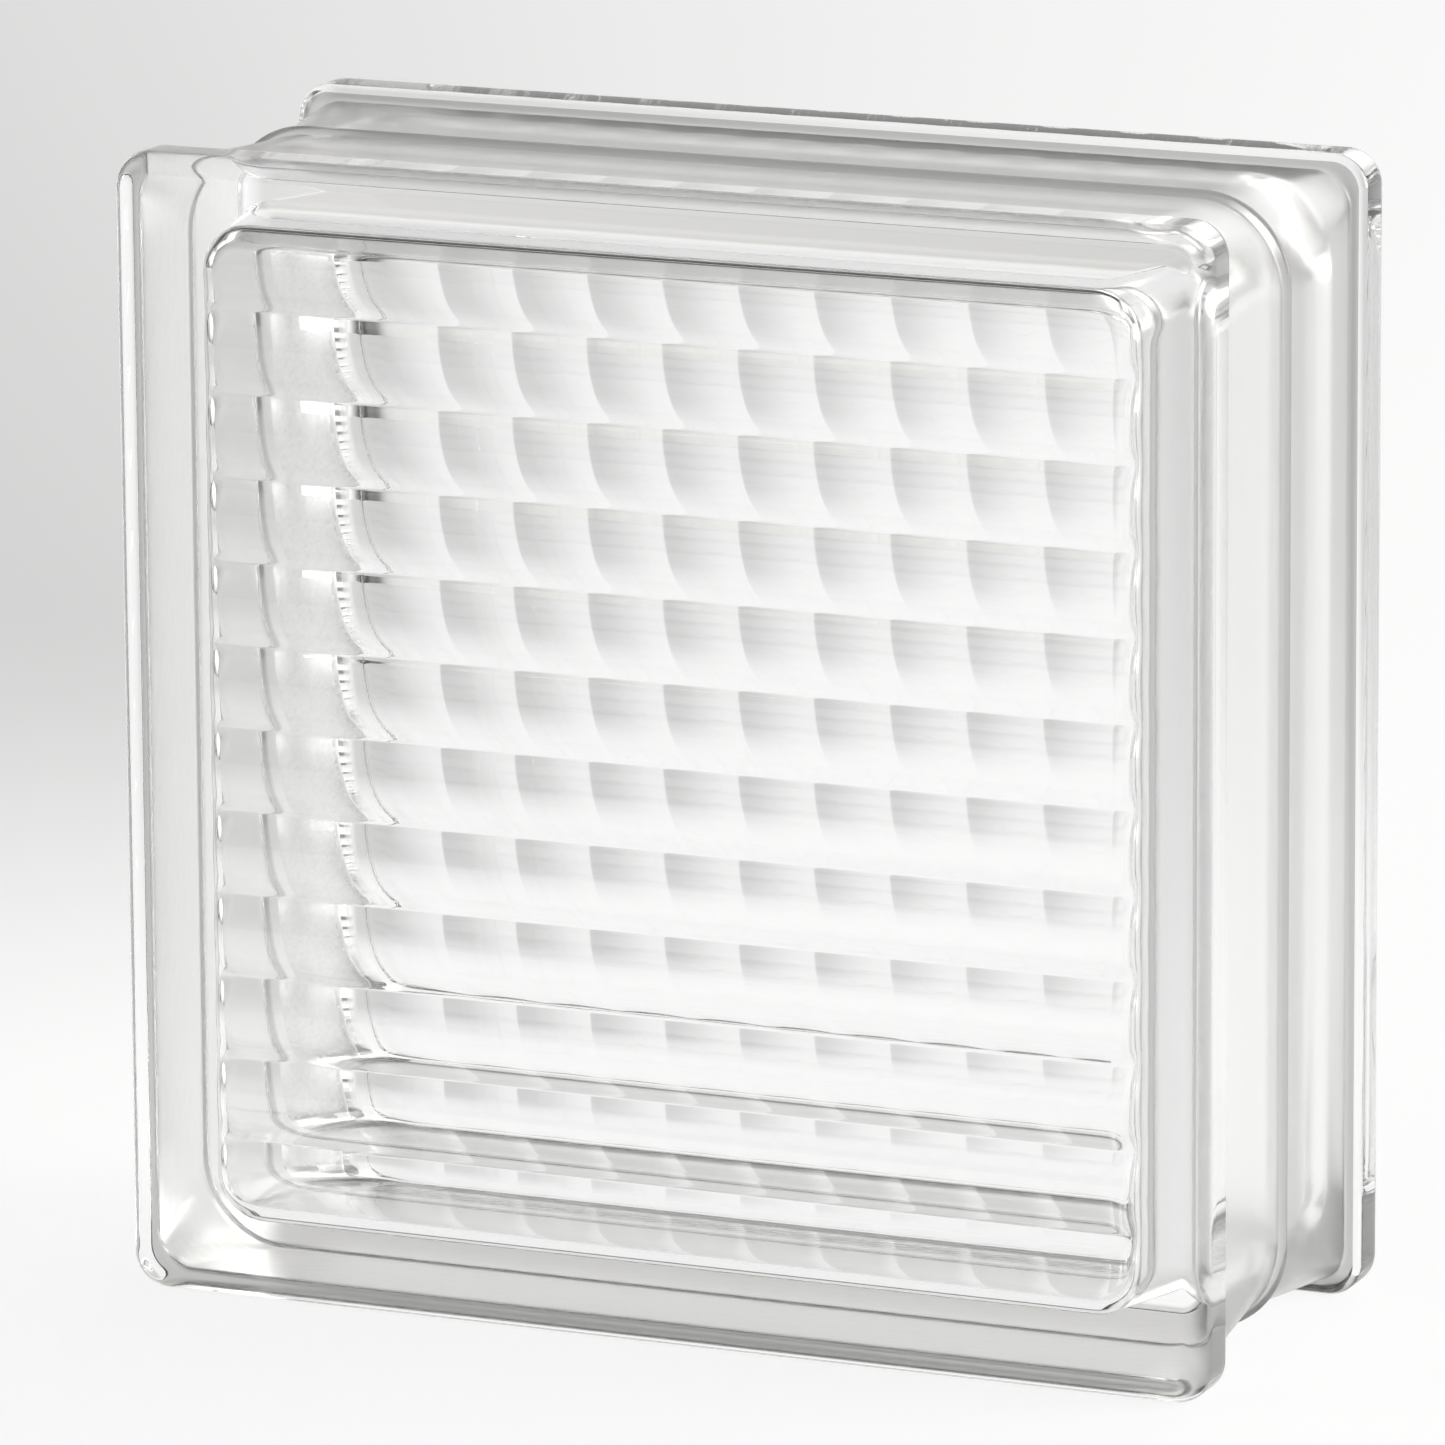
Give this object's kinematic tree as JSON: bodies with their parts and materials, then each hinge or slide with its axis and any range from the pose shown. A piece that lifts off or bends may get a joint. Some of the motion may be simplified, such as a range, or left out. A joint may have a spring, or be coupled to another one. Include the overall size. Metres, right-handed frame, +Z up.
{
  "type": "glass block",
  "caption": "Hollow square glass block for light-passing walls: fused half shells with crossed flutes inside, flanged faces and a mortar channel around the edge.",
  "frame": {"origin": "middle of the base, on the plane that the flange edges stand on", "axes": "+Z up, the front face looks towards -Y, +X to the right seen from the front"},
  "size_m": [0.19, 0.08, 0.19],
  "materials": {
    "clear_glass": "fire-polished pressed glass, clear"
  },
  "bodies": {
    "root": {"front_half": "clear_glass", "back_half": "clear_glass"}
  },
  "joints": []
}
